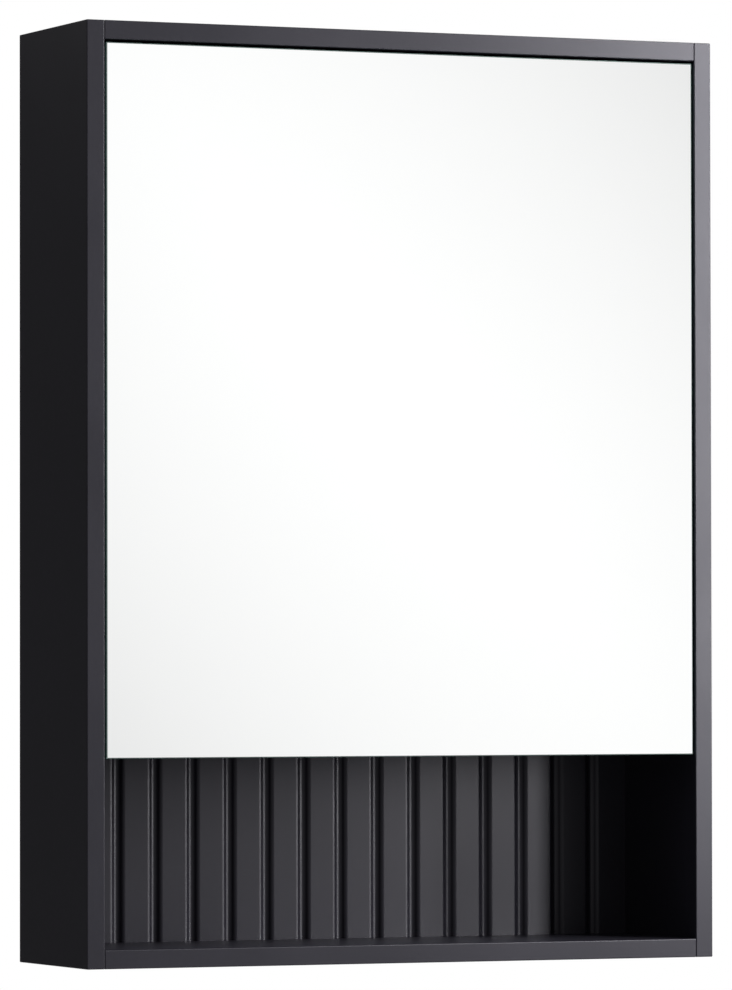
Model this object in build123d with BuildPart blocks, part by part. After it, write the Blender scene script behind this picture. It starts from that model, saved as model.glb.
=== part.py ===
from build123d import *
import os
from math import cos, radians, sin

# Wall-hung medicine cabinet with an inset, frameless mirror door and an open,
# fluted niche below it.  Millimetres.  +Z is up, the front faces -Y and +X is
# to the right as seen from the front.  The origin is the centre of the four
# wall-screw holes, on the plane of the wall (Y = 0).

# ---------------------------------------------------------------- dimensions
width = 550.0
height = 750.0
depth = 150.0
board = 15.0            # thickness of every carcass board
arris = 0.8             # eased edges of the boards
datum_h = 459.0         # height of the origin above the underside

inner = width / 2 - board          # inner face of each side panel, +/-260
front = -depth                     # front plane of the carcass

niche_floor_h = 15.0
divider_h = 168.0                  # underside of the divider shelf
divider_front = 23.0               # divider set back behind the door
door_low_h = 166.0
door_top_h = 732.5
door_gap = 2.2                     # gap between door and side panels
door_recess = 0.8                  # mirror face behind the front plane
glass = 4.0
glue = 0.5
door_board = 15.0

back_panel_t = 5.0
back_panel_y = -20.0               # front face of the cupboard's back panel
rail_h = 60.0
rail_t = 15.0
rail_top_h = 675.0                 # underside of the upper hanging rail
rail_low_h = 183.0                 # underside of the lower hanging rail
screw_x = 205.0                    # wall screws, half spacing along X
wall_screw_r = 3.0

flute_face = -17.0                 # flat front face of the fluted panel
flute_base_front = -12.0           # its tongue, housed in grooves on all four sides
flute_base_back = -5.0
flute_lip_r = 4.0                  # radius of a flute's two rounded lips
flute_bottom_r = 4.0               # radius of its round bottom
flute_slope = 56.6                 # steepest slope of a flute's side, in degrees
flute_pitch = 32.75
flute_count = 15
groove = 5.0                       # depth of the grooves that hold the backs

shelf_t = 6.0
shelf_d = 98.0
shelf_front = -120.0
pin_rows = (-110.0, -36.0)         # Y of the two rows of shelf-pin holes
pin_heights = [303.0 + 32.0 * i for i in range(10)]
shelf_pin_h = (367.0, 559.0)
pin_r = 2.5
pin_hole_depth = 9.0

cam_in = 34.0                      # cam centre from the board's end
cam_r = 7.5
cam_deep = 12.5
cam_bolt_r = 2.5
dowel_r = 4.0
dowel_side = 10.0
dowel_panel = 20.0

hinge_h = (258.0, 642.0)           # heights of the two hinges
cup_r = 17.5
cup_deep = 11.5
cup_edge = 22.0                    # cup centre from the door's edge

latch_x = -185.0                   # push latch under the top panel
latch_h = 735.0


def zh(h):
    """Height above the underside, as a Z coordinate."""
    return h - datum_h


def save(builder, name):
    builder.part.label = name
    export_step(builder.part, f"parts/{name}.step")


os.makedirs("parts", exist_ok=True)

# Faces that get drilled.  Local u, v are given with each one.
face_left = Plane(origin=(-inner, 0, 0), x_dir=(0, 1, 0), z_dir=(1, 0, 0))      # u = y, v = z
face_right = Plane(origin=(inner, 0, 0), x_dir=(0, -1, 0), z_dir=(-1, 0, 0))    # u = -y, v = z


def left_spots(points):
    return [face_left.location * Location((y, z, 0)) for y, z in points]


def right_spots(points):
    return [face_right.location * Location((-y, z, 0)) for y, z in points]


# Boards between the sides: name, mid height, cam Y positions, dowel Y
top_mid = zh(height - board / 2)
bottom_mid = zh(board / 2)
divider_mid = zh(divider_h + board / 2)
cam_ys = {"top": (-112.0, -44.0), "bottom": (-112.0, -44.0), "divider": (-100.0, -44.0)}
dowel_ys = {"top": -78.0, "bottom": -78.0, "divider": -72.0}
mids = {"top": top_mid, "bottom": bottom_mid, "divider": divider_mid}
cam_points = [(y, mids[k]) for k in cam_ys for y in cam_ys[k]]
rail_dowel_points = [
    (-rail_t / 2, zh(h + rail_h / 2 + s * 15.0))
    for h in (rail_top_h, rail_low_h)
    for s in (-1, 1)
]
dowel_points = [(dowel_ys[k], mids[k]) for k in dowel_ys] + rail_dowel_points
pin_points = [(y, zh(h)) for h in pin_heights for y in pin_rows]
hinge_plate_points = [(front + 57.0, zh(h) + s * 16.0) for h in hinge_h for s in (-1, 1)]

# ---------------------------------------------------------------- carcass
groove_top = zh(height - board + groove)
groove_divider = zh(divider_h + board - groove)

with BuildPart() as side_panel_left:
    with BuildSketch(Plane.XY.offset(zh(0))):
        with Locations((-(inner + board / 2), -depth / 2)):
            Rectangle(board, depth)
    extrude(amount=height)
    fillet(side_panel_left.edges(), arris)
    with BuildSketch(Plane.XY.offset(groove_divider)):
        with Locations((-(inner + groove / 2), back_panel_y + back_panel_t / 2)):
            Rectangle(groove, back_panel_t)
    extrude(amount=groove_top - groove_divider, mode=Mode.SUBTRACT)
    with BuildSketch(Plane.XY.offset(zh(niche_floor_h - groove))):
        with Locations((-(inner + groove / 2), (flute_base_front + flute_base_back) / 2)):
            Rectangle(groove, flute_base_back - flute_base_front)
    extrude(amount=divider_h + groove - (niche_floor_h - groove), mode=Mode.SUBTRACT)
    with Locations(*left_spots(cam_points)):
        Hole(cam_bolt_r, 11.0)
    with Locations(*left_spots(dowel_points)):
        Hole(dowel_r, dowel_side + 0.5)
    with Locations(*left_spots(pin_points)):
        Hole(pin_r, pin_hole_depth)
save(side_panel_left, "side_panel_left")

with BuildPart() as side_panel_right:
    with BuildSketch(Plane.XY.offset(zh(0))):
        with Locations((inner + board / 2, -depth / 2)):
            Rectangle(board, depth)
    extrude(amount=height)
    fillet(side_panel_right.edges(), arris)
    with BuildSketch(Plane.XY.offset(groove_divider)):
        with Locations((inner + groove / 2, back_panel_y + back_panel_t / 2)):
            Rectangle(groove, back_panel_t)
    extrude(amount=groove_top - groove_divider, mode=Mode.SUBTRACT)
    with BuildSketch(Plane.XY.offset(zh(niche_floor_h - groove))):
        with Locations((inner + groove / 2, (flute_base_front + flute_base_back) / 2)):
            Rectangle(groove, flute_base_back - flute_base_front)
    extrude(amount=divider_h + groove - (niche_floor_h - groove), mode=Mode.SUBTRACT)
    with Locations(*right_spots(cam_points)):
        Hole(cam_bolt_r, 11.0)
    with Locations(*right_spots(dowel_points)):
        Hole(dowel_r, dowel_side + 0.5)
    with Locations(*right_spots(pin_points)):
        Hole(pin_r, pin_hole_depth)
    with Locations(*right_spots(hinge_plate_points)):
        Hole(1.75, 12.0)
save(side_panel_right, "side_panel_right")


# End bores of a board between the sides, and the cam pockets in one face.
def end_spots(points):
    """Bore positions on both ends of a board; each bore runs into the board."""
    spots = []
    left_end = Plane(origin=(-inner, 0, 0), x_dir=(0, -1, 0), z_dir=(-1, 0, 0))
    right_end = Plane(origin=(inner, 0, 0), x_dir=(0, 1, 0), z_dir=(1, 0, 0))
    for y, z in points:
        spots.append(left_end.location * Location((-y, z, 0)))
        spots.append(right_end.location * Location((y, z, 0)))
    return spots


def cam_spots(key, face_z, up):
    """Cam pocket positions on the upper (up) or lower face of a board."""
    plane = (
        Plane(origin=(0, 0, face_z), x_dir=(1, 0, 0), z_dir=(0, 0, 1))
        if up
        else Plane(origin=(0, 0, face_z), x_dir=(1, 0, 0), z_dir=(0, 0, -1))
    )
    s = 1 if up else -1
    return [
        plane.location * Location((x, s * y, 0))
        for x in (-(inner - cam_in), inner - cam_in)
        for y in cam_ys[key]
    ]


latch_screw_points = [(latch_x - 9.8, front + 68.0), (latch_x + 9.8, front + 68.0)]

with BuildPart() as top_panel:
    with BuildSketch(Plane.XY.offset(zh(height - board))):
        with Locations((0, -depth / 2)):
            Rectangle(2 * inner, depth)
    extrude(amount=board)
    fillet(top_panel.edges(), arris)
    with BuildSketch(Plane.XY.offset(zh(height - board))):
        with Locations((0, back_panel_y + back_panel_t / 2)):
            Rectangle(2 * inner, back_panel_t)
    extrude(amount=groove, mode=Mode.SUBTRACT)
    with Locations(*end_spots([(y, top_mid) for y in cam_ys["top"]])):
        Hole(4.0, cam_in)
    with Locations(*end_spots([(dowel_ys["top"], top_mid)])):
        Hole(dowel_r, dowel_panel + 0.5)
    with Locations(*cam_spots("top", zh(height - board), False)):
        Hole(cam_r, cam_deep)
    with Locations(*[Location((x, y, zh(height - board)), (180, 0, 0)) for x, y in latch_screw_points]):
        Hole(1.5, 11.0)
save(top_panel, "top_panel")

with BuildPart() as bottom_panel:
    with BuildSketch(Plane.XY.offset(zh(0))):
        with Locations((0, -depth / 2)):
            Rectangle(2 * inner, depth)
    extrude(amount=board)
    fillet(bottom_panel.edges(), arris)
    with BuildSketch(Plane.XY.offset(zh(niche_floor_h - groove))):
        with Locations((0, (flute_base_front + flute_base_back) / 2)):
            Rectangle(2 * inner, flute_base_back - flute_base_front)
    extrude(amount=groove, mode=Mode.SUBTRACT)
    with Locations(*end_spots([(y, bottom_mid) for y in cam_ys["bottom"]])):
        Hole(4.0, cam_in)
    with Locations(*end_spots([(dowel_ys["bottom"], bottom_mid)])):
        Hole(dowel_r, dowel_panel + 0.5)
    with Locations(*cam_spots("bottom", zh(0), False)):
        Hole(cam_r, cam_deep)
save(bottom_panel, "bottom_panel")

divider_depth = depth - divider_front
with BuildPart() as divider_shelf:
    with BuildSketch(Plane.XY.offset(zh(divider_h))):
        with Locations((0, -divider_depth / 2)):
            Rectangle(2 * inner, divider_depth)
    extrude(amount=board)
    fillet(divider_shelf.edges(), arris)
    with BuildSketch(Plane.XY.offset(zh(divider_h + board - groove))):
        with Locations((0, back_panel_y + back_panel_t / 2)):
            Rectangle(2 * inner, back_panel_t)
    extrude(amount=groove, mode=Mode.SUBTRACT)
    with BuildSketch(Plane.XY.offset(zh(divider_h))):
        with Locations((0, (flute_base_front + flute_base_back) / 2)):
            Rectangle(2 * inner, flute_base_back - flute_base_front)
    extrude(amount=groove, mode=Mode.SUBTRACT)
    with Locations(*end_spots([(y, divider_mid) for y in cam_ys["divider"]])):
        Hole(4.0, cam_in)
    with Locations(*end_spots([(dowel_ys["divider"], divider_mid)])):
        Hole(dowel_r, dowel_panel + 0.5)
    with Locations(*cam_spots("divider", zh(divider_h + board), True)):
        Hole(cam_r, cam_deep)
save(divider_shelf, "divider_shelf")

# Back panel of the cupboard, held in grooves on all four sides.
back_low = zh(divider_h + board - groove + 0.3)
back_high = groove_top - 0.3
rail_screw_x = 110.0
rail_mid_z = [zh(rail_top_h + rail_h / 2), zh(rail_low_h + rail_h / 2)]
front_of_back = Plane(origin=(0, back_panel_y, 0), x_dir=(1, 0, 0), z_dir=(0, -1, 0))  # u = x, v = z
with BuildPart() as back_panel:
    with BuildSketch(Plane.XY.offset(back_low)):
        with Locations((0, back_panel_y + back_panel_t / 2)):
            Rectangle(2 * (inner + groove - 0.3), back_panel_t)
    extrude(amount=back_high - back_low)
    with Locations(*[front_of_back.location * Location((s * screw_x, z, 0)) for z in rail_mid_z for s in (-1, 1)]):
        Hole(8.0, back_panel_t)
    with Locations(*[front_of_back.location * Location((s * rail_screw_x, z, 0)) for z in rail_mid_z for s in (-1, 1)]):
        CounterSinkHole(radius=1.6, counter_sink_radius=3.2, depth=back_panel_t)
save(back_panel, "back_panel")

# Fluted back of the niche: a board with a tongue all round and fifteen upright
# flutes routed in its face.  Each flute rolls over two rounded lips into a round
# bottom, so its section is one smooth S on either side.
flute_low = zh(niche_floor_h - groove + 0.3)
flute_high = zh(divider_h + groove - 0.3)
face_low = zh(niche_floor_h)
face_high = zh(divider_h)
slope = radians(flute_slope)
flute_half = (flute_lip_r + flute_bottom_r) * sin(slope)
flute_deep = (flute_lip_r + flute_bottom_r) * (1 - cos(slope))


def lip(angle, side):
    """A point on a flute's lip, where the face turns inwards by that angle."""
    return (side * (flute_half - flute_lip_r * sin(angle)), flute_face + flute_lip_r * (1 - cos(angle)))


with BuildPart() as fluted_back_panel:
    with BuildSketch(Plane.XY.offset(flute_low)):
        with Locations((0, (flute_base_front + flute_base_back) / 2)):
            Rectangle(2 * (inner + groove - 0.3), flute_base_back - flute_base_front)
    extrude(amount=flute_high - flute_low)
    with BuildSketch(Plane.XY.offset(face_low)):
        with Locations((0, (flute_face + flute_base_front) / 2)):
            Rectangle(2 * inner, flute_base_front - flute_face)
        with GridLocations(flute_pitch, 1, flute_count, 1):
            with BuildSketch(Plane.XY, mode=Mode.PRIVATE) as flute:
                with BuildLine():
                    ThreePointArc(lip(0, -1), lip(slope / 2, -1), lip(slope, -1))
                    ThreePointArc(lip(slope, -1), (0, flute_face + flute_deep), lip(slope, 1))
                    ThreePointArc(lip(slope, 1), lip(slope / 2, 1), lip(0, 1))
                    Polyline(lip(0, 1), (flute_half, flute_face - 1), (-flute_half, flute_face - 1), lip(0, -1))
                make_face()
            add(flute.sketch, mode=Mode.SUBTRACT)
    extrude(amount=face_high - face_low)
save(fluted_back_panel, "fluted_back_panel")


# Hanging rails, each with two holes for the wall screws.
def rail_block(low_h):
    mid = zh(low_h + rail_h / 2)
    front_of_rail = Plane(origin=(0, -rail_t, 0), x_dir=(1, 0, 0), z_dir=(0, -1, 0))
    with BuildPart() as rail:
        with BuildSketch(Plane.XY.offset(zh(low_h))):
            with Locations((0, -rail_t / 2)):
                Rectangle(2 * inner, rail_t)
        extrude(amount=rail_h)
        with Locations(*[front_of_rail.location * Location((s * screw_x, mid, 0)) for s in (-1, 1)]):
            Hole(wall_screw_r, rail_t)
        with Locations(*[front_of_rail.location * Location((s * rail_screw_x, mid, 0)) for s in (-1, 1)]):
            Hole(1.5, 11.0)
        with Locations(*end_spots([(-rail_t / 2, mid - 15.0), (-rail_t / 2, mid + 15.0)])):
            Hole(dowel_r, dowel_panel + 0.5)
    return rail


hanging_rail_top = rail_block(rail_top_h)
save(hanging_rail_top, "hanging_rail_top")
hanging_rail_bottom = rail_block(rail_low_h)
save(hanging_rail_bottom, "hanging_rail_bottom")


# ---------------------------------------------------------------- screws
def cross_recess(head_r, deep):
    """Cross slot cut into a screw head whose top is at z = 0."""
    with BuildPart() as slot:
        with BuildSketch(Plane.XY.offset(-deep)):
            Rectangle(head_r * 1.15, head_r * 0.26)
            Rectangle(head_r * 0.26, head_r * 1.15)
        extrude(amount=deep + 4.0)
    return slot.part


def csk_screw(shank_r, head_r, length):
    """Countersunk screw, top of the head at z = 0, pointing down -Z."""
    head = (head_r - shank_r) / 0.8693
    with BuildPart() as screw:
        with BuildSketch(Plane.XZ):
            with BuildLine():
                Polyline(
                    (0, 0),
                    (head_r, 0),
                    (shank_r, -head),
                    (shank_r, -(length - 1.5)),
                    (0.4, -length),
                    (0, -length),
                    close=True,
                )
            make_face()
        revolve(axis=Axis.Z)
        add(cross_recess(head_r, head * 0.7), mode=Mode.SUBTRACT)
    return screw.part


def pan_screw(shank_r, head_r, head_t, length):
    """Pan-head screw, underside of the head at z = 0, pointing down -Z."""
    with BuildPart() as screw:
        with BuildSketch(Plane.XZ):
            with BuildLine():
                Polyline(
                    (0, head_t),
                    (head_r * 0.7, head_t),
                    (head_r * 0.93, head_t * 0.72),
                    (head_r, head_t * 0.3),
                    (head_r, 0),
                    (shank_r, 0),
                    (shank_r, -(length - 1.5)),
                    (0.4, -length),
                    (0, -length),
                    close=True,
                )
            make_face()
        revolve(axis=Axis.Z)
        with Locations((0, 0, head_t)):
            add(cross_recess(head_r, head_t * 0.6), mode=Mode.SUBTRACT)
    return screw.part


back_screw = csk_screw(1.5, 3.1, 14.5)
with BuildPart() as back_panel_screws:
    with Locations(*[front_of_back.location * Location((s * rail_screw_x, z, 0)) for z in rail_mid_z for s in (-1, 1)]):
        add(back_screw)
save(back_panel_screws, "back_panel_screws")

# ---------------------------------------------------------------- joinery
dowel_len = dowel_side + dowel_panel
with BuildPart() as one_dowel:
    with BuildSketch(Plane.XY):
        Circle(dowel_r)
    extrude(amount=dowel_len)
    chamfer(one_dowel.edges().filter_by(GeomType.CIRCLE), 0.7)

with BuildPart() as wood_dowels:
    for spots in (left_spots(dowel_points), right_spots(dowel_points)):
        with Locations(*[s * Location((0, 0, -dowel_side)) for s in spots]):
            add(one_dowel.part)
save(wood_dowels, "wood_dowels")

# Cam bolt: screwed into the side, its head caught by the cam.  Local +Z runs
# from the side panel's inner face towards the middle of the cabinet.
with BuildPart() as one_bolt:
    with BuildSketch(Plane.XZ):
        with BuildLine():
            Polyline(
                (0, -10.5),
                (1.6, -10.5),
                (cam_bolt_r, -9.4),
                (cam_bolt_r, 0),
                (3.6, 0),
                (3.6, 1.6),
                (cam_bolt_r, 1.6),
                (cam_bolt_r, 25.5),
                (1.8, 26.2),
                (1.8, 30.6),
                (3.3, 31.4),
                (3.3, 34.2),
                (2.4, 36.0),
                (0, 36.0),
                close=True,
            )
        make_face()
    revolve(axis=Axis.Z)

with BuildPart() as cam_bolts:
    for spots in (left_spots(cam_points), right_spots(cam_points)):
        with Locations(*spots):
            add(one_bolt.part)
save(cam_bolts, "cam_bolts")


def cam(side):
    """Cam disc, top at z = 0.  side = +1 opens towards +X, -1 towards -X."""
    with BuildPart() as body:
        with BuildSketch(Plane.XY):
            Circle(cam_r)
        extrude(amount=-(cam_deep - 0.4))
        chamfer(body.edges().group_by(Axis.Z)[-1], 0.4)
        with BuildSketch(Plane(origin=(side * -3.2, 0, -board / 2), x_dir=(0, 1, 0), z_dir=(side, 0, 0))):
            Circle(3.8)
        extrude(amount=16.0, mode=Mode.SUBTRACT)
        with BuildSketch(Plane.XY):
            Rectangle(9.0, 1.3)
            Rectangle(1.3, 9.0)
        extrude(amount=-2.2, mode=Mode.SUBTRACT)
    return body.part


cam_left = cam(-1)
cam_right = cam(1)
with BuildPart() as cam_locks:
    for key, face_z, up in (
        ("top", zh(height - board), False),
        ("bottom", zh(0), False),
        ("divider", zh(divider_h + board), True),
    ):
        spots = cam_spots(key, face_z, up)
        n = len(cam_ys[key])
        with Locations(*spots[:n]):
            add(cam_left)
        with Locations(*spots[n:]):
            add(cam_right)
save(cam_locks, "cam_locks")

with BuildPart() as one_cap:
    with BuildSketch(Plane.XY):
        Circle(8.6)
    extrude(amount=0.9)
    fillet(one_cap.edges().group_by(Axis.Z)[-1], 0.6)

with BuildPart() as cam_caps:
    with Locations(*cam_spots("top", zh(height - board), False)):
        add(one_cap.part)
    with Locations(*cam_spots("divider", zh(divider_h + board), True)):
        add(one_cap.part)
save(cam_caps, "cam_caps")


# ---------------------------------------------------------------- shelves
def shelf(at_h):
    with BuildPart() as plate:
        with BuildSketch(Plane.XY.offset(zh(at_h) + pin_r)):
            with Locations((0, shelf_front + shelf_d / 2)):
                RectangleRounded(2 * inner - 3.0, shelf_d, 3.0)
        extrude(amount=shelf_t)
        chamfer(plate.edges().group_by(Axis.Z)[-1] + plate.edges().group_by(Axis.Z)[0], 0.5)
    return plate


shelf_lower = shelf(shelf_pin_h[0])
save(shelf_lower, "shelf_lower")
shelf_upper = shelf(shelf_pin_h[1])
save(shelf_upper, "shelf_upper")

# Shelf pin: shank in the side panel, collar, and a stub under the shelf.
with BuildPart() as one_pin:
    with BuildSketch(Plane.XZ):
        with BuildLine():
            Polyline(
                (0, -8.6),
                (2.0, -8.6),
                (pin_r, -8.0),
                (pin_r, 0),
                (4.2, 0),
                (4.2, 1.0),
                (pin_r, 1.0),
                (pin_r, 8.5),
                (1.9, 9.2),
                (0, 9.2),
                close=True,
            )
        make_face()
    revolve(axis=Axis.Z)
used_pins = [(y, zh(h)) for h in shelf_pin_h for y in pin_rows]
with BuildPart() as shelf_pins:
    for spots in (left_spots(used_pins), right_spots(used_pins)):
        with Locations(*spots):
            add(one_pin.part)
save(shelf_pins, "shelf_pins")

# ---------------------------------------------------------------- door
door_w = 2 * (inner - door_gap)
door_h = door_top_h - door_low_h
mirror_front = front + door_recess
board_front = mirror_front + glass + glue
door_back = board_front + door_board
cup_x = inner - door_gap - cup_edge
cup_screw_dx = 6.0                 # cup screws sit this far inboard of the cup
cup_screw_dz = 24.0
back_of_door = Plane(origin=(0, door_back, 0), x_dir=(-1, 0, 0), z_dir=(0, 1, 0))  # u = -x, v = z


def door_spots(points):
    return [back_of_door.location * Location((-x, z, 0)) for x, z in points]


with BuildPart() as door_panel:
    with BuildSketch(Plane.XY.offset(zh(door_low_h))):
        with Locations((0, (board_front + door_back) / 2)):
            Rectangle(door_w, door_board)
    extrude(amount=door_h)
    fillet(door_panel.edges(), 0.6)
    with Locations(*door_spots([(cup_x, zh(h)) for h in hinge_h])):
        Hole(cup_r, cup_deep)
    with Locations(*door_spots([(cup_x - cup_screw_dx, zh(h) + s * cup_screw_dz) for h in hinge_h for s in (-1, 1)])):
        Hole(1.5, 11.0)
    with Locations(*door_spots([(latch_x + s * 7.0, zh(latch_h - 8.5)) for s in (-1, 1)])):
        Hole(1.25, 9.0)
save(door_panel, "door_panel")

with BuildPart() as mirror_glass:
    with BuildSketch(Plane.XY.offset(zh(door_low_h))):
        with Locations((0, mirror_front + glass / 2)):
            Rectangle(door_w, glass)
    extrude(amount=door_h)
    chamfer(mirror_glass.edges().group_by(Axis.Y)[0], 0.6)
save(mirror_glass, "mirror_glass")

with BuildPart() as mirror_adhesive:
    with BuildSketch(Plane.XZ.offset(-(mirror_front + glass))):
        with Locations((0, zh((door_low_h + door_top_h) / 2))):
            with GridLocations(96.0, 1, 5, 1):
                RectangleRounded(16.0, door_h - 60.0, 6.0)
    extrude(amount=-glue)
save(mirror_adhesive, "mirror_adhesive")

# Strike plate of the push latch, on the back of the door.
strike_t = 1.2
with BuildPart() as latch_strike:
    with BuildSketch(back_of_door):
        with Locations((-latch_x, zh(latch_h - 8.5))):
            RectangleRounded(22.0, 11.0, 2.5)
    extrude(amount=strike_t)
    with Locations(*[s * Location((0, 0, strike_t)) for s in door_spots([(latch_x + k * 7.0, zh(latch_h - 8.5)) for k in (-1, 1)])]):
        CounterSinkHole(radius=1.3, counter_sink_radius=2.2, depth=strike_t)
save(latch_strike, "latch_strike")

strike_screw = csk_screw(1.25, 2.1, 9.0)
with BuildPart() as strike_screws:
    with Locations(*[s * Location((0, 0, strike_t)) for s in door_spots([(latch_x + k * 7.0, zh(latch_h - 8.5)) for k in (-1, 1)])]):
        add(strike_screw)
save(strike_screws, "strike_screws")

# ---------------------------------------------------------------- push latch
# Housing under the top panel, with a bore for the plunger.
latch_z = zh(latch_h - 8.5)
latch_front = front + 28.0
latch_len = 52.0
bore_r = 4.4
with BuildPart() as latch_housing:
    with BuildSketch(Plane.XZ.offset(-latch_front)):
        with BuildLine():
            Polyline(
                (latch_x - 13.0, zh(latch_h)),
                (latch_x + 13.0, zh(latch_h)),
                (latch_x + 13.0, zh(latch_h) - 2.0),
                (latch_x + 6.6, zh(latch_h) - 2.0),
                (latch_x + 6.6, latch_z - 6.4),
                (latch_x - 6.6, latch_z - 6.4),
                (latch_x - 6.6, zh(latch_h) - 2.0),
                (latch_x - 13.0, zh(latch_h) - 2.0),
                close=True,
            )
        make_face()
    extrude(amount=-latch_len)
    fillet(latch_housing.edges().filter_by(Axis.Y).group_by(Axis.Z)[0], 2.0)
    with BuildSketch(Plane.XZ.offset(-latch_front)):
        with Locations((latch_x, latch_z)):
            Circle(bore_r)
    extrude(amount=-(latch_len - 4.0), mode=Mode.SUBTRACT)
    with Locations(*[Location((x, y, zh(latch_h) - 2.0), (180, 0, 0)) for x, y in latch_screw_points]):
        Hole(1.6, 2.0)
save(latch_housing, "latch_housing")

latch_screw = pan_screw(1.5, 2.6, 1.6, 12.0)
with BuildPart() as latch_screws:
    with Locations(*[Location((x, y, zh(latch_h) - 2.0), (180, 0, 0)) for x, y in latch_screw_points]):
        add(latch_screw)
save(latch_screws, "latch_screws")

plunger_tip = door_back + strike_t + 0.3
with BuildPart() as latch_plunger:
    with BuildSketch(Plane.XZ.offset(-plunger_tip)):
        with Locations((latch_x, latch_z)):
            Circle(4.0)
    extrude(amount=-34.0)
    chamfer(latch_plunger.edges().group_by(Axis.Y)[0], 0.5)
save(latch_plunger, "latch_plunger")

# Soft bumpers on the front edge of the divider shelf stop the door.
with BuildPart() as one_bumper:
    with BuildSketch(Plane.XY):
        Circle(4.0)
    extrude(amount=1.2)
    fillet(one_bumper.edges().group_by(Axis.Z)[-1], 0.8)
divider_face = Plane(origin=(0, front + divider_front, 0), x_dir=(1, 0, 0), z_dir=(0, -1, 0))
with BuildPart() as door_bumpers:
    with Locations(*[divider_face.location * Location((x, divider_mid, 0)) for x in (-236.0, 120.0)]):
        add(one_bumper.part)
save(door_bumpers, "door_bumpers")

# ---------------------------------------------------------------- hinges
# Two concealed inset hinges on the right.  Hinge profiles are drawn in the
# plane (s, t): s is measured from the right side panel's inner face towards
# the middle of the cabinet, t from the front plane towards the wall.
pivot_arm_outer = (33.65, 45.96)   # outer link on the arm
pivot_cup_outer = (11.80, 13.22)   # outer link in the cup
pivot_arm_inner = (41.64, 23.45)   # inner links on the arm
pivot_cup_inner = (16.62, 12.02)   # inner links in the cup
elbow_outer = (22.00, 10.78)
elbow_inner = (37.83, 17.57)
pin_radius = 1.0
pin_clear = 0.05
link_t = 1.5
outer_half = 2.6                   # the outer link fills |z| < 2.6
inner_in = 3.3                     # the inner links run at 3.3 < |z| < 5.3
inner_out = 5.3
cup_pin_outer = 11.1               # half lengths of the pins in the cup
cup_pin_inner = 15.2
stub_in = 5.8                      # the short pins end clear of the inner links
cup_s = door_gap + cup_edge
cup_wall = 0.8
door_t = door_back - front         # back of the door, as a t coordinate
hinge_plane = Plane(origin=(inner, front, 0), x_dir=(-1, 0, 0), z_dir=(0, 0, -1))
hinge_spots = [Location((0, 0, zh(h))) for h in hinge_h]


def on_both_hinges(part):
    with BuildPart() as pair:
        with Locations(*hinge_spots):
            add(part)
    return pair


def at_height(z):
    """The hinge plane moved up by z."""
    return Plane(origin=(inner, front, z), x_dir=(-1, 0, 0), z_dir=(0, 0, -1))


def link(cup_end, elbow, arm_end, low, high, bend, eye):
    """Bent strip link with an eye at each end, from z = low to z = high."""
    with BuildPart() as body:
        with BuildSketch(at_height(high)):
            with BuildLine() as path:
                FilletPolyline(cup_end, elbow, arm_end, radius=bend)
            trace(path.line, line_width=link_t)
            with Locations(cup_end, arm_end):
                Circle(eye)
            with Locations(cup_end, arm_end):
                Circle(pin_radius + pin_clear, mode=Mode.SUBTRACT)
        extrude(amount=high - low)
    return body.part


outer_link = link(pivot_cup_outer, elbow_outer, pivot_arm_outer, -outer_half, outer_half, 2.5, 2.1)
hinge_outer_links = on_both_hinges(outer_link)
save(hinge_outer_links, "hinge_outer_links")

inner_low = link(pivot_cup_inner, elbow_inner, pivot_arm_inner, -inner_out, -inner_in, 2.5, 2.0)
inner_high = link(pivot_cup_inner, elbow_inner, pivot_arm_inner, inner_in, inner_out, 2.5, 2.0)
with BuildPart() as hinge_inner_links:
    with Locations(*hinge_spots):
        add(inner_low)
        add(inner_high)
save(hinge_inner_links, "hinge_inner_links")

# Cup: pressed steel bowl let into the door, with two screw wings.
wing_t = 1.2
cup_plane = Plane(origin=(inner - cup_s, front, 0), x_dir=(1, 0, 0), z_dir=(0, 1, 0))  # u = x, v = -z
with BuildPart() as one_cup:
    with BuildSketch(cup_plane.offset(door_t - cup_deep)):
        Circle(cup_r)
    extrude(amount=cup_deep)
    with BuildSketch(cup_plane.offset(door_t)):
        with Locations((-5.0, 0)):
            RectangleRounded(17.0, 60.0, 5.0)
        Rectangle(60.0, 26.0, mode=Mode.SUBTRACT)
    extrude(amount=wing_t)
    with BuildSketch(cup_plane.offset(door_t - cup_deep + cup_wall)):
        Circle(cup_r - cup_wall)
    extrude(amount=cup_deep + wing_t, mode=Mode.SUBTRACT)
    with Locations(*[cup_plane.offset(door_t + wing_t).location * Location((-cup_screw_dx, s * cup_screw_dz, 0)) for s in (-1, 1)]):
        CounterSinkHole(radius=1.6, counter_sink_radius=2.6, depth=wing_t)
    # both sides of the rim are cut away for the links
    with BuildSketch(at_height(6.2)):
        with Locations((cup_s, 19.5)):
            Rectangle(60.0, 6.0)
    extrude(amount=12.4, mode=Mode.SUBTRACT)
    with BuildSketch(at_height(cup_pin_outer)):
        with Locations(pivot_cup_outer):
            Circle(pin_radius)
    extrude(amount=2 * cup_pin_outer, mode=Mode.SUBTRACT)
    with BuildSketch(at_height(cup_pin_inner)):
        with Locations(pivot_cup_inner):
            Circle(pin_radius)
    extrude(amount=2 * cup_pin_inner, mode=Mode.SUBTRACT)
hinge_cups = on_both_hinges(one_cup.part)
save(hinge_cups, "hinge_cups")

cup_screw = csk_screw(1.5, 2.5, 12.0)
with BuildPart() as hinge_cup_screws:
    with Locations(*[
        spot * cup_plane.offset(door_t + wing_t).location * Location((-cup_screw_dx, s * cup_screw_dz, 0))
        for spot in hinge_spots
        for s in (-1, 1)
    ]):
        add(cup_screw)
save(hinge_cup_screws, "hinge_cup_screws")

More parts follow.
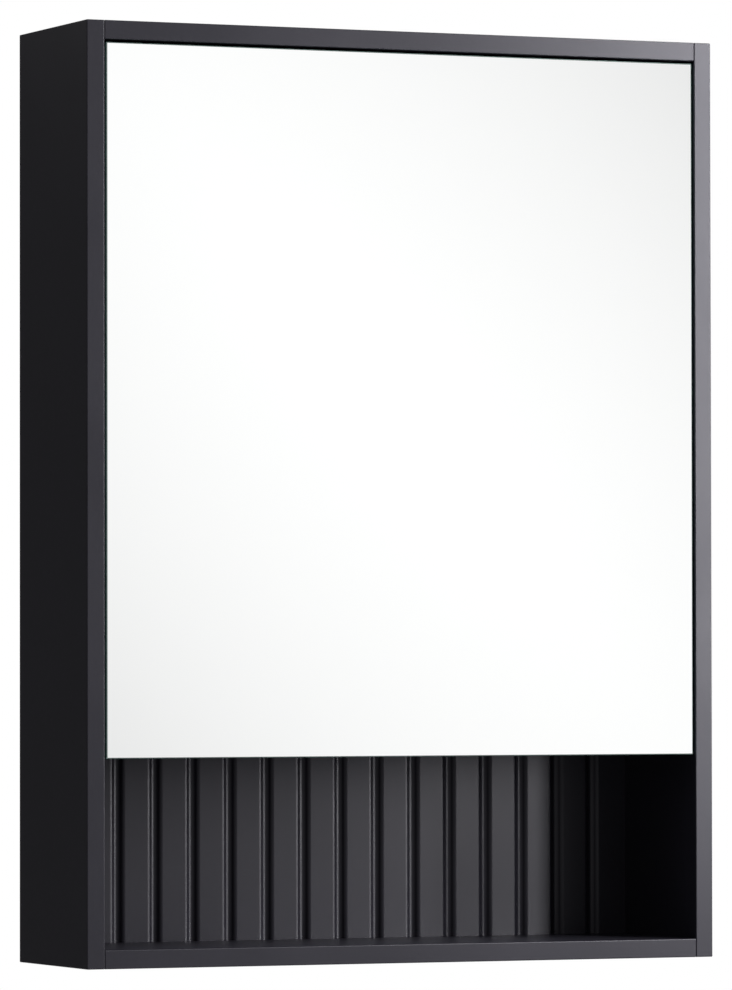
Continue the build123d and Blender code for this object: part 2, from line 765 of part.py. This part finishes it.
# Pins in the cup: one across it for the outer link, and a short one on each
# side for the inner links.
with BuildPart() as one_cup_pins:
    with BuildSketch(at_height(cup_pin_outer)):
        with Locations(pivot_cup_outer):
            Circle(pin_radius)
    extrude(amount=2 * cup_pin_outer)
    for z in (cup_pin_inner, -stub_in):
        with BuildSketch(at_height(z)):
            with Locations(pivot_cup_inner):
                Circle(pin_radius)
        extrude(amount=cup_pin_inner - stub_in)
hinge_cup_pins = on_both_hinges(one_cup_pins.part)

# Arm: channel with two cheeks that carry the arm pins, and a web on the side
# away from the side panel.
cheek_in = 7.2
cheek_out = 8.4
arm_outline = [
    (39.2, 21.3), (44.0, 21.3), (45.8, 23.2), (45.8, 50.5), (19.0, 66.0), (19.0, 99.0),
    (9.5, 99.0), (9.5, 62.0), (30.4, 49.0), (30.4, 43.0), (38.2, 31.0),
]
with BuildPart() as one_arm:
    with BuildSketch(at_height(cheek_out)):
        with BuildLine():
            Polyline(*arm_outline, close=True)
        make_face()
    extrude(amount=2 * cheek_out)
    with BuildSketch(at_height(cheek_in)):
        with BuildLine():
            Polyline(
                (30.0, 15.0), (44.6, 15.0), (44.6, 49.8), (17.8, 65.3), (17.8, 105.0),
                (0.0, 105.0), (0.0, 15.0), close=True,
            )
        make_face()
    extrude(amount=2 * cheek_in, mode=Mode.SUBTRACT)
    with BuildSketch(at_height(20.0)):
        with Locations(pivot_arm_outer, pivot_arm_inner):
            Circle(pin_radius)
    extrude(amount=40.0, mode=Mode.SUBTRACT)
    # slot for the depth screw, hole for the side screw
    with BuildSketch(Plane(origin=(inner - 15.0, front + 88.0, 0), x_dir=(0, 1, 0), z_dir=(-1, 0, 0))):
        SlotOverall(11.0, 4.6)
        with Locations((-16.0, 0)):
            Circle(2.3)
    extrude(amount=8.0, mode=Mode.SUBTRACT)
hinge_arms = on_both_hinges(one_arm.part)
save(hinge_arms, "hinge_arms")

with BuildPart() as one_arm_pins:
    for place in (pivot_arm_outer, pivot_arm_inner):
        with BuildSketch(at_height(cheek_out + 0.3)):
            with Locations(place):
                Circle(pin_radius)
        extrude(amount=2 * cheek_out + 0.6)
        for z in (cheek_out + 0.5, -cheek_out):
            with BuildSketch(at_height(z)):
                with Locations(place):
                    Circle(1.7)
            extrude(amount=0.5)
hinge_arm_pins = on_both_hinges(one_arm_pins.part)
save(hinge_arm_pins, "hinge_arm_pins")
save(hinge_cup_pins, "hinge_cup_pins")

# Mounting plate on the side panel, with a boss inside the arm's channel.
plate_t = 2.4
boss_top = 17.4
with BuildPart() as one_plate:
    with BuildSketch(Plane(origin=(inner, front + 57.0, 0), x_dir=(0, 1, 0), z_dir=(-1, 0, 0))):
        RectangleRounded(16.0, 46.0, 5.0)
        with Locations((20.0, 0)):
            Rectangle(48.0, 13.6)
    extrude(amount=plate_t)
    with BuildSketch(Plane(origin=(inner - plate_t, front + 80.0, 0), x_dir=(0, 1, 0), z_dir=(-1, 0, 0))):
        Rectangle(32.0, 13.6)
    extrude(amount=boss_top - plate_t)
    fillet(one_plate.edges().filter_by(Axis.X).group_by(SortBy.LENGTH)[-1], 1.5)
    with Locations(*[Location((inner - plate_t, front + 57.0, s * 16.0), (0, -90, 0)) for s in (-1, 1)]):
        CounterSinkHole(radius=1.9, counter_sink_radius=3.5, depth=plate_t)
    with Locations(*[Location((inner - boss_top, front + t, 0), (0, -90, 0)) for t in (88.0, 72.0)]):
        Hole(2.0, 11.0)
hinge_plates = on_both_hinges(one_plate.part)
save(hinge_plates, "hinge_plates")

plate_screw = csk_screw(1.75, 3.4, 13.5)
with BuildPart() as hinge_plate_screws:
    with Locations(*[
        spot * Location((inner - plate_t, front + 57.0, s * 16.0), (0, -90, 0)) for spot in hinge_spots for s in (-1, 1)
    ]):
        add(plate_screw)
save(hinge_plate_screws, "hinge_plate_screws")

arm_screw = pan_screw(2.0, 3.6, 1.8, 10.5)
with BuildPart() as hinge_arm_screws:
    with Locations(*[
        spot * Location((inner - 19.0, front + t, 0), (0, -90, 0)) for spot in hinge_spots for t in (88.0, 72.0)
    ]):
        add(arm_screw)
save(hinge_arm_screws, "hinge_arm_screws")
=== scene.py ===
"""Looks of the medicine cabinet: materials, light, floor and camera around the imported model.
Everything is in metres, in the part's own frame: the origin is the middle of the four wall screws
on the wall plane, +Z is up, and the front faces -Y."""

import math

import bmesh
import bpy
from mathutils import Matrix, Vector


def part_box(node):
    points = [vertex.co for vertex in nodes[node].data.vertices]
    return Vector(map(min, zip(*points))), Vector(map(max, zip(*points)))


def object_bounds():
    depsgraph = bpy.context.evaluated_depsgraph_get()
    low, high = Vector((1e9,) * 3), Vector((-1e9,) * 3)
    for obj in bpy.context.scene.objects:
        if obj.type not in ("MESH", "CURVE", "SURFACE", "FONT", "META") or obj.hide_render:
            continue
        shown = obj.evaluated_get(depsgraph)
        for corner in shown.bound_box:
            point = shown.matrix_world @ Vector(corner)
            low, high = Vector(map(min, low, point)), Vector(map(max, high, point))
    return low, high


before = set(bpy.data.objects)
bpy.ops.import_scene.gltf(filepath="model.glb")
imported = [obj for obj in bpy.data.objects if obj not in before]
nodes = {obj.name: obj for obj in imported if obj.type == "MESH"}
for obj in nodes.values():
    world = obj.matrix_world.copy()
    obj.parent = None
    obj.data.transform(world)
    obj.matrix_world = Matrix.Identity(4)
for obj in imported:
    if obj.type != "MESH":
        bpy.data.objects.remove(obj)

cad_box = [list(map(float, corner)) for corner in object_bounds()]
scene = bpy.context.scene

MM = 0.001


# ---------------------------------------------------------------- node helpers
class Graph:
    """A short way to write a node material. Values that vary go through nodes, constants are set on the shader."""

    def __init__(self, name):
        self.material = bpy.data.materials.new(name)
        self.material.use_nodes = True
        self.tree = self.material.node_tree
        self.tree.nodes.clear()
        self.out = self.add("ShaderNodeOutputMaterial")
        self.bsdf = self.add("ShaderNodeBsdfPrincipled")
        self.link(self.bsdf.outputs["BSDF"], self.out.inputs["Surface"])
        self.coord = self.add("ShaderNodeTexCoord").outputs["Object"]
        self._xyz = None

    def add(self, kind, **props):
        node = self.tree.nodes.new(kind)
        for key, value in props.items():
            setattr(node, key, value)
        return node

    def link(self, a, b):
        self.tree.links.new(a, b)

    def put(self, socket, value):
        if isinstance(value, bpy.types.NodeSocket):
            self.link(value, socket)
        else:
            socket.default_value = value

    def shader(self, **values):
        for key, value in values.items():
            self.put(self.bsdf.inputs[key.replace("_", " ")], value)

    def axis(self, index):
        if self._xyz is None:
            self._xyz = self.add("ShaderNodeSeparateXYZ")
            self.link(self.coord, self._xyz.inputs[0])
        return self._xyz.outputs[index]

    def math(self, op, a, b=0.0, c=None, clamp=False):
        node = self.add("ShaderNodeMath", operation=op, use_clamp=clamp)
        self.put(node.inputs[0], a)
        self.put(node.inputs[1], b)
        if c is not None:
            self.put(node.inputs[2], c)
        return node.outputs[0]

    def stretched(self, scale):
        node = self.add("ShaderNodeMapping")
        node.inputs["Scale"].default_value = scale
        self.link(self.coord, node.inputs["Vector"])
        return node.outputs[0]

    def noise(self, scale, detail=3.0, rough=0.5, vector=None, distortion=0.0):
        node = self.add("ShaderNodeTexNoise")
        self.link(vector or self.coord, node.inputs["Vector"])
        node.inputs["Scale"].default_value = scale
        node.inputs["Detail"].default_value = detail
        node.inputs["Roughness"].default_value = rough
        node.inputs["Distortion"].default_value = distortion
        return node.outputs["Fac"]

    def cells(self, scale, feature="F1", vector=None):
        node = self.add("ShaderNodeTexVoronoi", feature=feature)
        self.link(vector or self.coord, node.inputs["Vector"])
        node.inputs["Scale"].default_value = scale
        return node.outputs["Distance"]

    def ranged(self, value, a, b, lo, hi, smooth=False):
        node = self.add(
            "ShaderNodeMapRange",
            interpolation_type="SMOOTHSTEP" if smooth else "LINEAR",
            clamp=True,
        )
        self.put(node.inputs["Value"], value)
        for key, number in (
            ("From Min", a),
            ("From Max", b),
            ("To Min", lo),
            ("To Max", hi),
        ):
            node.inputs[key].default_value = number
        return node.outputs["Result"]

    def colours(self, fac, a, b):
        node = self.add("ShaderNodeMix", data_type="RGBA")
        self.put(node.inputs[0], fac)
        self.put(node.inputs[6], (*a, 1.0) if isinstance(a, tuple) else a)
        self.put(node.inputs[7], (*b, 1.0) if isinstance(b, tuple) else b)
        return node.outputs[2]

    def bump(self, height, strength, distance, normal=None):
        node = self.add("ShaderNodeBump")
        node.inputs["Strength"].default_value = strength
        node.inputs["Distance"].default_value = distance
        self.link(height, node.inputs["Height"])
        if normal is not None:
            self.link(normal, node.inputs["Normal"])
        return node.outputs["Normal"]


# ---------------------------------------------------------------- materials
def lacquer(name, dark, light, rough):
    """Sprayed satin lacquer: a fine orange peel, slow drifts of gloss, and specks of dust nibs."""
    g = Graph(name)
    drift = g.noise(7.0, 3.0, 0.55)
    fine = g.noise(260.0, 2.0, 0.6)
    mottle = g.math("ADD", g.math("MULTIPLY", drift, 0.7), g.math("MULTIPLY", fine, 0.3))
    tone = g.ranged(mottle, 0.30, 0.70, 0.0, 1.0)
    colour = g.colours(tone, dark, light)
    nib = g.ranged(g.cells(140.0), 0.035, 0.07, 1.0, 0.0, True)
    gloss = g.math("ADD", g.ranged(drift, 0.3, 0.7, rough - 0.03, rough + 0.03), g.ranged(fine, 0.3, 0.7, -0.012, 0.012))
    peel = g.noise(640.0, 2.0, 0.5)
    height = g.math("ADD", peel, g.math("MULTIPLY", nib, 0.8))
    normal = g.bump(height, 0.16, 0.00004)
    g.shader(
        Base_Color=colour,
        Roughness=gloss,
        Normal=normal,
        IOR=1.44,
        Specular_Tint=(0.950, 0.932, 1.0, 1.0),
    )
    return g.material


def mirror_material():
    """Silvered float glass in one solid: a clean mirror in front, the greenish polished edge of the glass
    round it, and the grey protective paint on the back."""
    g = Graph("mirror_silver")
    lo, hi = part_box("mirror_glass")
    x, y, z = g.axis(0), g.axis(1), g.axis(2)
    cx, cz = (lo.x + hi.x) / 2, (lo.z + hi.z) / 2
    inset_x = g.math("SUBTRACT", (hi.x - lo.x) / 2, g.math("ABSOLUTE", g.math("SUBTRACT", x, cx)))
    inset_z = g.math("SUBTRACT", (hi.z - lo.z) / 2, g.math("ABSOLUTE", g.math("SUBTRACT", z, cz)))
    rim = g.ranged(g.math("MINIMUM", inset_x, inset_z), 0.05 * MM, 0.25 * MM, 1.0, 0.0)
    back = g.ranged(y, hi.y - 0.12 * MM, hi.y - 0.05 * MM, 0.0, 1.0)
    edge = g.math("MULTIPLY", rim, g.ranged(back, 0.0, 1.0, 1.0, 0.0))
    haze = g.noise(38.0, 4.0, 0.6)
    paint = g.colours(g.noise(90.0, 3.0, 0.6), (0.20, 0.21, 0.22), (0.27, 0.28, 0.29))
    silver = g.colours(haze, (0.955, 0.962, 0.958), (0.965, 0.970, 0.967))
    green = g.colours(g.noise(420.0, 2.0, 0.5), (0.16, 0.34, 0.29), (0.24, 0.44, 0.38))
    colour = g.colours(edge, g.colours(back, silver, paint), green)
    metal = g.math("MULTIPLY", g.ranged(edge, 0.0, 1.0, 1.0, 0.0), g.ranged(back, 0.0, 1.0, 1.0, 0.0))
    clean = g.ranged(haze, 0.35, 0.75, 0.0, 0.012)
    dull = g.ranged(g.noise(300.0, 2.0, 0.5), 0.3, 0.7, 0.46, 0.58)
    rough = g.math(
        "ADD",
        g.math("MULTIPLY", metal, clean),
        g.math("ADD", g.math("MULTIPLY", back, dull), g.math("MULTIPLY", edge, 0.12)),
    )
    g.shader(Base_Color=colour, Metallic=metal, Roughness=rough, IOR=1.52)
    return g.material


def shelf_material():
    """Clear float glass, whose polished edges look green because one sees along the sheet."""
    g = Graph("shelf_glass_clear")
    lo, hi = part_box("shelf_lower")
    x, y = g.axis(0), g.axis(1)
    inset_x = g.math("SUBTRACT", (hi.x - lo.x) / 2, g.math("ABSOLUTE", g.math("SUBTRACT", x, (lo.x + hi.x) / 2)))
    inset_y = g.math("SUBTRACT", (hi.y - lo.y) / 2, g.math("ABSOLUTE", g.math("SUBTRACT", y, (lo.y + hi.y) / 2)))
    rim = g.ranged(g.math("MINIMUM", inset_x, inset_y), 0.3 * MM, 0.8 * MM, 1.0, 0.0)
    grind = g.noise(520.0, 2.0, 0.5)
    colour = g.colours(rim, (0.955, 0.985, 0.972), g.colours(grind, (0.36, 0.66, 0.56), (0.46, 0.74, 0.65)))
    rough = g.math("ADD", g.math("MULTIPLY", rim, g.ranged(grind, 0.3, 0.7, 0.05, 0.10)), g.ranged(g.noise(24.0, 3.0, 0.6), 0.4, 0.8, 0.0, 0.010))
    g.shader(Base_Color=colour, Roughness=rough, IOR=1.52, Transmission_Weight=1.0)
    return g.material


def metal(name, dark, light, low, high, brush=None):
    """Plated steel: a pressed sheet's fine draw lines, or the speckle of barrel plating."""
    g = Graph(name)
    if brush:
        lines = g.noise(1.0, 4.0, 0.62, vector=g.stretched(brush))
        speck = g.noise(1500.0, 2.0, 0.5)
    else:
        lines = g.cells(900.0)
        speck = g.noise(2200.0, 3.0, 0.55)
    wear = g.noise(160.0, 3.0, 0.6)
    tone = g.math("ADD", g.math("MULTIPLY", lines, 0.5), g.math("MULTIPLY", wear, 0.5))
    g.shader(
        Base_Color=g.colours(g.ranged(tone, 0.3, 0.7, 0.0, 1.0), dark, light),
        Roughness=g.ranged(g.math("ADD", g.math("MULTIPLY", wear, 0.6), g.math("MULTIPLY", speck, 0.4)), 0.3, 0.7, low, high),
        Normal=g.bump(g.math("ADD", lines, g.math("MULTIPLY", speck, 0.4)), 0.25, 0.00002),
        Metallic=1.0,
    )
    return g.material


def plastic(name, dark, light, low, high, grain=1100.0, relief=0.00003):
    """Moulded plastic with a fine spark-eroded grain."""
    g = Graph(name)
    flow = g.noise(55.0, 2.0, 0.5)
    texture = g.noise(grain, 3.0, 0.6)
    g.shader(
        Base_Color=g.colours(g.ranged(g.math("ADD", g.math("MULTIPLY", flow, 0.6), g.math("MULTIPLY", texture, 0.4)), 0.3, 0.7, 0.0, 1.0), dark, light),
        Roughness=g.ranged(texture, 0.3, 0.7, low, high),
        Normal=g.bump(texture, 0.3, relief),
        IOR=1.49,
    )
    return g.material


def rubber_material():
    g = Graph("bumper_clear")
    cloud = g.noise(700.0, 2.0, 0.5)
    g.shader(
        Base_Color=g.colours(cloud, (0.80, 0.80, 0.76), (0.90, 0.90, 0.86)),
        Roughness=g.ranged(cloud, 0.3, 0.7, 0.16, 0.26),
        Normal=g.bump(cloud, 0.2, 0.00003),
        IOR=1.46,
        Transmission_Weight=0.75,
    )
    return g.material


def foam_material():
    g = Graph("mirror_tape")
    cell = g.cells(2600.0)
    g.shader(
        Base_Color=g.colours(cell, (0.58, 0.58, 0.56), (0.78, 0.78, 0.76)),
        Roughness=g.ranged(cell, 0.1, 0.6, 0.75, 0.92),
        Normal=g.bump(cell, 0.5, 0.00008),
        IOR=1.45,
    )
    return g.material


def beech_material():
    """Beech: straight grain along the dowel, short dark rays across it."""
    g = Graph("dowel_beech")
    grain = g.noise(1.0, 5.0, 0.6, vector=g.stretched((40.0, 900.0, 900.0)), distortion=0.4)
    rays = g.cells(1.0, vector=g.stretched((260.0, 2400.0, 2400.0)))
    tone = g.math("ADD", g.math("MULTIPLY", grain, 0.75), g.math("MULTIPLY", rays, 0.25))
    g.shader(
        Base_Color=g.colours(g.ranged(tone, 0.3, 0.7, 0.0, 1.0), (0.46, 0.29, 0.16), (0.66, 0.47, 0.29)),
        Roughness=g.ranged(grain, 0.3, 0.7, 0.52, 0.68),
        Normal=g.bump(tone, 0.4, 0.00006),
        IOR=1.47,
    )
    return g.material


LACQUER_DARK = (0.0080, 0.0075, 0.0120)
LACQUER_LIGHT = (0.0115, 0.0108, 0.0165)

finishes = {
    "carcass_lacquer": lacquer("satin_lacquer", LACQUER_DARK, LACQUER_LIGHT, 0.38),
    "fluted_lacquer": lacquer("satin_lacquer_fluted", LACQUER_DARK, LACQUER_LIGHT, 0.38),
    "rail_board": lacquer("satin_lacquer_rails", (0.0140, 0.0137, 0.0155), (0.0200, 0.0196, 0.0220), 0.46),
    "mirror": mirror_material(),
    "shelf_glass": shelf_material(),
    "foam_tape": foam_material(),
    "dowel_wood": beech_material(),
    "zinc": metal("zinc_plating", (0.50, 0.51, 0.53), (0.66, 0.67, 0.69), 0.30, 0.44),
    "nickel": metal("nickel_plating", (0.56, 0.54, 0.51), (0.70, 0.68, 0.65), 0.18, 0.30, brush=(60.0, 60.0, 2600.0)),
    "black_plastic": plastic("plastic_black", (0.010, 0.010, 0.011), (0.020, 0.020, 0.021), 0.42, 0.56),
    "grey_plastic": plastic("plastic_grey", (0.070, 0.071, 0.075), (0.100, 0.101, 0.106), 0.40, 0.52),
    "plunger_plastic": plastic("plastic_light", (0.50, 0.50, 0.49), (0.60, 0.60, 0.59), 0.22, 0.32, grain=1900.0, relief=0.00001),
    "clear_rubber": rubber_material(),
}

for node in nodes.values():
    for index, old in enumerate(list(node.data.materials)):
        slot_name = old.name.split(".")[0]
        node.data.materials[index] = finishes[slot_name]

# ---------------------------------------------------------------- light
world = bpy.data.worlds.new("studio")
scene.world = world
world.use_nodes = True
wt = world.node_tree
wt.nodes.clear()


def wmath(op, a, b=0.0, clamp=False):
    node = wt.nodes.new("ShaderNodeMath")
    node.operation = op
    node.use_clamp = clamp
    for socket, value in zip(node.inputs, (a, b)):
        if isinstance(value, bpy.types.NodeSocket):
            wt.links.new(value, socket)
        else:
            socket.default_value = value
    return node.outputs[0]


def wrange(value, a, b, lo, hi):
    node = wt.nodes.new("ShaderNodeMapRange")
    node.interpolation_type = "SMOOTHSTEP"
    wt.links.new(value, node.inputs["Value"])
    for key, number in (("From Min", a), ("From Max", b), ("To Min", lo), ("To Max", hi)):
        node.inputs[key].default_value = number
    return node.outputs["Result"]


w_out = wt.nodes.new("ShaderNodeOutputWorld")
w_bg = wt.nodes.new("ShaderNodeBackground")
w_dir = wt.nodes.new("ShaderNodeTexCoord")
w_xyz = wt.nodes.new("ShaderNodeSeparateXYZ")
w_path = wt.nodes.new("ShaderNodeLightPath")
w_mix = wt.nodes.new("ShaderNodeMix")
w_mix.data_type = "RGBA"
wt.links.new(w_dir.outputs["Generated"], w_xyz.inputs[0])
dx, dy, dz = w_xyz.outputs[0], w_xyz.outputs[1], w_xyz.outputs[2]
# the room in front of the cabinet is a bright sweep, the one behind it is dark
# and it is brighter to the right of the camera than to the left
front = wrange(dy, 0.30, -0.35, 0.0, 1.0)
side = wrange(dx, -0.75, 0.35, 0.20, 0.30)
sweep = wmath("ADD", wmath("MULTIPLY", front, side), 0.070)
above = wmath("MULTIPLY", wrange(dz, 0.35, 0.95, 0.0, 1.0), 0.40)
# a paper sweep straight in the mirror's line of sight, with a soft diagonal band
px = wmath("MULTIPLY", wmath("SUBTRACT", dx, 0.4055), 1.0 / 0.039)
pz = wmath("MULTIPLY", wmath("SUBTRACT", dz, 0.0375), 1.0 / 0.0515)
diagonal = wmath("POWER", wmath("ABSOLUTE", wmath("ADD", px, pz)), 1.7)
middle = wmath("ADD", wmath("POWER", px, 2.0), wmath("POWER", pz, 2.0))
band = wmath("MAXIMUM", wmath("SUBTRACT", wmath("SUBTRACT", 1.055, wmath("MULTIPLY", diagonal, 0.057)), wmath("MULTIPLY", middle, 0.016)), 0.55)
far = wmath("SQRT", wmath("ADD", wmath("POWER", wmath("SUBTRACT", dx, 0.4055), 2.0), wmath("POWER", wmath("SUBTRACT", dz, 0.0375), 2.0)))
paper = wmath("MULTIPLY", wrange(far, 0.085, 0.22, 1.0, 0.0), wrange(dy, 0.0, -0.3, 0.0, 1.0))
rest = wmath("MULTIPLY", wmath("ADD", sweep, above), wmath("SUBTRACT", 1.0, paper))
level = wmath("ADD", rest, wmath("MULTIPLY", band, paper))
w_grey = wt.nodes.new("ShaderNodeCombineColor")
for socket in w_grey.inputs[:3]:
    wt.links.new(level, socket)
wt.links.new(w_path.outputs["Is Camera Ray"], w_mix.inputs[0])
wt.links.new(w_grey.outputs[0], w_mix.inputs[6])
w_mix.inputs[7].default_value = (1.0, 1.0, 1.0, 1.0)
wt.links.new(w_mix.outputs[2], w_bg.inputs["Color"])
w_bg.inputs["Strength"].default_value = 1.0
wt.links.new(w_bg.outputs[0], w_out.inputs["Surface"])


def softbox(name, at, toward, width, height, power, tint=(1.0, 1.0, 1.0), spread=180.0):
    light = bpy.data.lights.new(name, "AREA")
    light.shape = "RECTANGLE"
    light.size, light.size_y = width, height
    light.energy = power
    light.color = tint
    light.spread = math.radians(spread)
    obj = bpy.data.objects.new(name, light)
    scene.collection.objects.link(obj)
    obj.location = at
    aim = Vector(toward) - Vector(at)
    obj.rotation_euler = aim.to_track_quat("-Z", "Y").to_euler()
    obj.visible_camera = False
    return obj


softbox("strip_right", (0.705, -0.899, 0.20), (0.33, -0.15, -0.40), 0.10, 1.44, 16.0)
softbox("strip_far_right", (1.22, -0.86, 0.16), (0.05, -0.12, -0.10), 0.10, 1.10, 20.0)
softbox("softbox_top", (-0.30, -0.90, 1.60), (0.0, -0.10, 0.0), 1.2, 1.0, 5.0)
softbox("softbox_rear", (-0.95, 0.75, 0.62), (-0.275, -0.12, 0.26), 0.30, 0.20, 0.6)

# ---------------------------------------------------------------- floor
floor_mesh = bpy.data.meshes.new("studio_floor")
bm = bmesh.new()
rings = [0.0, 0.6, 1.2, 1.9, 2.6, 3.3, 4.0]
segments = 128
floor_z = cad_box[0][2] - 1.15
centre = bm.verts.new((0.0, 0.0, floor_z))
last = None
for radius in rings[1:]:
    ring = [
        bm.verts.new((radius * math.cos(2 * math.pi * k / segments), radius * math.sin(2 * math.pi * k / segments), floor_z))
        for k in range(segments)
    ]
    for k in range(segments):
        a, b = ring[k], ring[(k + 1) % segments]
        if last is None:
            bm.faces.new((centre, a, b))
        else:
            bm.faces.new((last[k], a, b, last[(k + 1) % segments]))
    last = ring
lip = [bm.verts.new((v.co.x, v.co.y, floor_z - 0.02)) for v in last]
for k in range(segments):
    bm.faces.new((last[(k + 1) % segments], last[k], lip[k], lip[(k + 1) % segments]))
bm.normal_update()
bm.to_mesh(floor_mesh)
bm.free()
floor = bpy.data.objects.new("studio_floor", floor_mesh)
scene.collection.objects.link(floor)
g = Graph("floor_pale")
screed = g.noise(3.0, 4.0, 0.6)
g.shader(
    Base_Color=g.colours(g.ranged(screed, 0.3, 0.7, 0.0, 1.0), (0.76, 0.76, 0.76), (0.80, 0.80, 0.80)),
    Roughness=g.ranged(g.noise(60.0, 3.0, 0.6), 0.3, 0.7, 0.72, 0.82),
)
floor_mesh.materials.append(g.material)

# ---------------------------------------------------------------- camera
camera_data = bpy.data.cameras.new("camera")
camera_data.sensor_fit = "AUTO"
camera_data.sensor_width = 36.0
camera_data.lens = 247.785
camera_data.clip_start = 0.1
camera_data.clip_end = 60.0
camera_data.dof.use_dof = False
camera = bpy.data.objects.new("camera", camera_data)
scene.collection.objects.link(camera)
yaw, pitch, roll = 0.4135, 0.0243, 0.0014
forward = Vector((math.cos(pitch) * math.sin(yaw), math.cos(pitch) * math.cos(yaw), math.sin(pitch)))
level_right = Vector((math.cos(yaw), -math.sin(yaw), 0.0))
level_up = Vector((-math.sin(pitch) * math.sin(yaw), -math.sin(pitch) * math.cos(yaw), math.cos(pitch)))
right = math.cos(roll) * level_right - math.sin(roll) * level_up
up = math.sin(roll) * level_right + math.cos(roll) * level_up
camera.matrix_world = Matrix(
    (
        (right.x, up.x, -forward.x, -2.2320),
        (right.y, up.y, -forward.y, -5.1574),
        (right.z, up.z, -forward.z, -0.21597),
        (0.0, 0.0, 0.0, 1.0),
    )
)
scene.camera = camera
scene.view_settings.view_transform = "Standard"
scene.view_settings.look = "None"
scene.cycles.use_denoising = True

# ---------------------------------------------------------------- update the view layer
bpy.context.view_layer.update()
